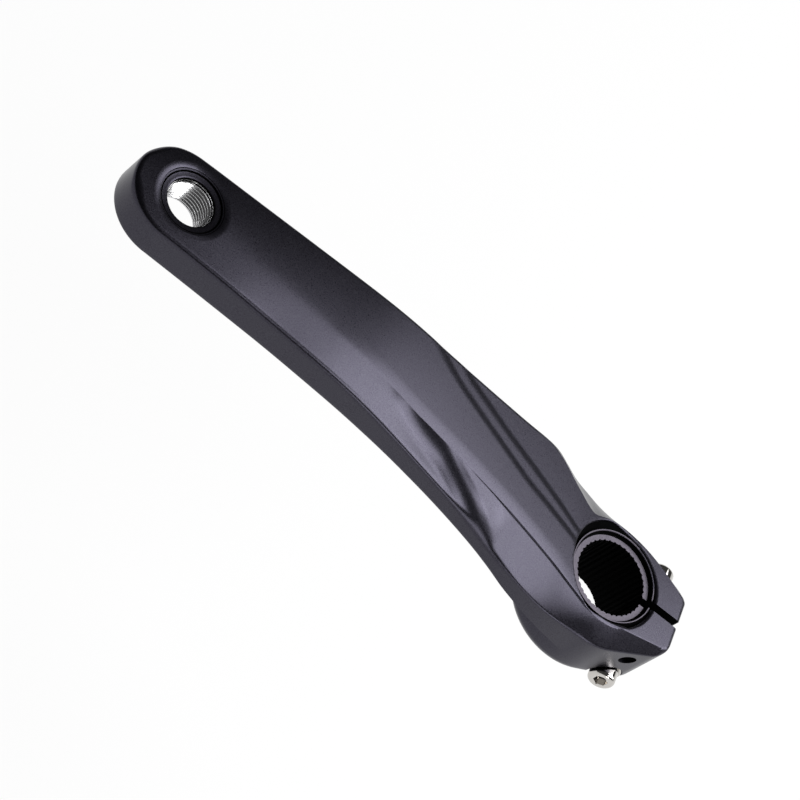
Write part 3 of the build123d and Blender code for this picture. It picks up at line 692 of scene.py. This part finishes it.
def boltGrid(side, height):
    # turned cap screw: threaded shank, head with a rounded edge, then a hexagon socket down to a flat floor; the
    # thread is a V wave of place less turn over the pitch, the hexagon's radius half its flats over the turn's cosine
    seat, rows = boltForm["seat"] + boltForm["washer"], boltForm["threadRows"]
    tip, threadEnd = seat - boltForm["shank"], seat - boltForm["shank"] + boltForm["threadLength"]
    along = np.linspace(tip + boltForm["tipBreak"], threadEnd, rows)
    shank = np.concatenate([[(0, tip), (boltForm["radius"] - boltForm["tipBreak"], tip)],
                            np.stack([np.full(rows, boltForm["radius"]), along], 1),
                            [(boltForm["radius"], seat)]])
    top, r, bend = seat + boltForm["headHeight"], boltForm["headRadius"], boltForm["headRound"]
    angle, corner = np.linspace(0, np.pi / 2, boltForm["headRows"]), boltForm["headBreak"]
    head = np.concatenate([[(r - corner, seat), (r, seat + corner)],
                           np.stack([r - bend + bend * np.cos(angle), top - bend + bend * np.sin(angle)], 1),
                           [(boltForm["socketRim"], top)]])
    depths = [*boltForm["mouthDepths"], *[boltForm["socketDepth"]] * 3]
    socket = np.array([(0, top - depth) for depth in depths])          # radii of the socket are set below
    profile = np.concatenate([shank, head, socket])

    def reach(turn):
        radius = np.repeat(profile[None, :, 0], len(turn), 0)
        phase = np.abs(((along / boltForm["pitch"] - turn[:, None] / (2 * np.pi)) % 1) - 0.5) * 2
        lead = (np.clip((along - tip - boltForm["tipBreak"]) / boltForm["leadIn"], 0, 1)
                * np.clip((threadEnd - along) / boltForm["leadOut"], 0, 1))
        radius[:, 2:2 + rows] -= boltForm["threadDepth"] * phase * lead
        radius[:, 2] -= boltForm["tipDrop"]
        flat = (boltForm["socket"] / 2) / np.cos((turn + np.pi / 6) % (np.pi / 3) - np.pi / 6)
        radius[:, -5] = np.maximum(boltForm["socketMouth"], flat + boltForm["mouthOpen"])
        radius[:, -4] = flat
        radius[:, -3] = flat
        radius[:, -2] = flat * 0.5
        return radius

    return turnedGrid(profile, boltForm["count"], (boltForm["x"], 0, height), (0, side, 0), reach)


def washerGrid(side, height):
    # plain ring with its four edges broken
    inner, outer, low, high = (boltForm["washerHole"], boltForm["washerRadius"], boltForm["seat"],
                               boltForm["seat"] + boltForm["washer"])
    c = boltForm["washerBreak"]
    ring = [(inner, low + c), (inner + c, low), (outer - c, low), (outer, low + c), (outer, high - c),
            (outer - c, high), (inner + c, high), (inner, high - c)]
    return turnedGrid(ring, boltForm["count"], (boltForm["x"], 0, height), (0, side, 0))


bolts = [gridObject("pinchBolts", boltGrid(s, h), [chrome]) for s, h in boltForm["seats"]]
bolts = joinMeshes(bolts[0], bolts[1:])
finishShading(bolts, 32)
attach(bolts, "root")
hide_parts("pinch_bolts")
washers = [gridObject("pinchBoltWashers", washerGrid(s, h), [chrome], loopRows=True) for s, h in boltForm["seats"]]
washers = joinMeshes(washers[0], washers[1:])
finishShading(washers, 32)
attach(washers, "root")
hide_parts("pinch_bolt_washers")
print("bolts and washers made")

# Studio: white sweep, a big softbox, a smaller one beside it, a low strip and plain grey air
studio = {
    "floorDepth": -0.16, "floorReach": 4.0, "floorColor": "#f4f4f4", "rimRise": 0.75, "flatShare": 0.45,
    "sweepRows": 40, "sweepCount": 96,
    "glow": 0.87,        # the rest of what is seen stays matt paper, so the shadow shows on the white
    "air": 0.06, "aim": (0.08, 0.0, 0.03), "distance": 1.6,
    # softboxes as (azimuth, elevation, width, height, roll) in degrees seen from the arm, then radiance
    "key": (-165, 43, 55, 37.5, 39, 6.0),
    "side": (147, 48, 33, 20, 0, 6.8),
    "strip": (115, -8, 13.5, 40, -7, 3.8),
}


def sweepGrid():
    # disc whose height grows with the cube of the radius past the flat middle, so it lifts into a low rim
    share = np.linspace(0, 1, studio["sweepRows"])
    turn = np.linspace(0, 2 * np.pi, studio["sweepCount"], endpoint=False)
    past = np.clip((share - studio["flatShare"]) / (1 - studio["flatShare"]), 0, 1)
    lift = studio["floorDepth"] + studio["rimRise"] * past ** 3
    radius = studio["floorReach"] * share
    return np.stack([np.cos(turn)[:, None] * radius, np.sin(turn)[:, None] * radius,
                     np.broadcast_to(lift, (len(turn), len(share)))], -1) / mm


floorMaterial, floorTree = newMaterial("white paper sweep")
path = addNode(floorTree, "ShaderNodeLightPath")
seen = addNode(floorTree, "ShaderNodeMath", {"operation": "MAXIMUM"},
               {0: path.outputs["Is Camera Ray"], 1: path.outputs["Is Glossy Ray"]})
seen = addNode(floorTree, "ShaderNodeMath", {"operation": "MAXIMUM"},
               {0: seen.outputs["Value"], 1: path.outputs["Is Transmission Ray"]})
matt = addNode(floorTree, "ShaderNodeBsdfDiffuse", None, {"Color": linearFrom(studio["floorColor"])})
glow = addNode(floorTree, "ShaderNodeEmission", None, {"Color": (1, 1, 1, 1), "Strength": 1.0})
lit = addNode(floorTree, "ShaderNodeMixShader", None,
              {0: studio["glow"], 1: matt.outputs["BSDF"], 2: glow.outputs["Emission"]})
sweepMix = addNode(floorTree, "ShaderNodeMixShader", None,
                   {0: seen.outputs["Value"], 1: matt.outputs["BSDF"], 2: lit.outputs["Shader"]})
addNode(floorTree, "ShaderNodeOutputMaterial", None, {"Surface": sweepMix.outputs["Shader"]})
sweep = gridObject("sweep", sweepGrid(), [floorMaterial])
sweep.data.shade_smooth()


def softbox(name):
    # flat lamp facing the arm; its power is radiance times area times pi
    azimuth, elevation, width, height, roll, radiance = studio[name]
    az, el, far = np.radians(azimuth), np.radians(elevation), studio["distance"]
    place = Vector(studio["aim"]) + far * Vector((np.cos(az) * np.cos(el), np.sin(az) * np.cos(el), np.sin(el)))
    lamp = bpy.data.lights.new(name, "AREA")
    lamp.shape = "RECTANGLE"
    lamp.size, lamp.size_y = (2 * far * np.tan(np.radians(side) / 2) for side in (width, height))
    lamp.energy = radiance * np.pi * lamp.size * lamp.size_y
    holder = bpy.data.objects.new(name, lamp)
    holder.location = place
    turn = (Vector(studio["aim"]) - place).to_track_quat("-Z", "Y") @ Quaternion((0, 0, 1), np.radians(roll))
    holder.rotation_euler = turn.to_euler()
    bpy.context.scene.collection.objects.link(holder)


for lampName in ("key", "side", "strip"):
    softbox(lampName)
world = bpy.data.worlds.new("studio air")
bpy.context.scene.world = world
world.use_nodes = True
world.node_tree.nodes.clear()
air = addNode(world.node_tree, "ShaderNodeBackground", None, {"Color": (1, 1, 1, 1), "Strength": studio["air"]})
addNode(world.node_tree, "ShaderNodeOutputWorld", None, {"Surface": air.outputs["Background"]})

# Camera at the photograph's angle: place in metres, turn in degrees
view = {"place": (0.33972240, 0.56689391, 0.75366719), "turn": (26.24868509, -32.3793655, -156.79313774),
        "lens": 150.680, "sensor": 36.0, "near": 0.05, "far": 20}
cameraData = bpy.data.cameras.new("photo view")
cameraData.lens, cameraData.sensor_width = view["lens"], view["sensor"]
cameraData.clip_start, cameraData.clip_end = view["near"], view["far"]
camera = bpy.data.objects.new("photo view", cameraData)
camera.location = view["place"]
camera.rotation_euler = Euler([np.radians(a) for a in view["turn"]], "XYZ")
bpy.context.scene.collection.objects.link(camera)
bpy.context.scene.camera = camera
bpy.context.scene.view_settings.view_transform = "Standard"
print("studio and camera set")
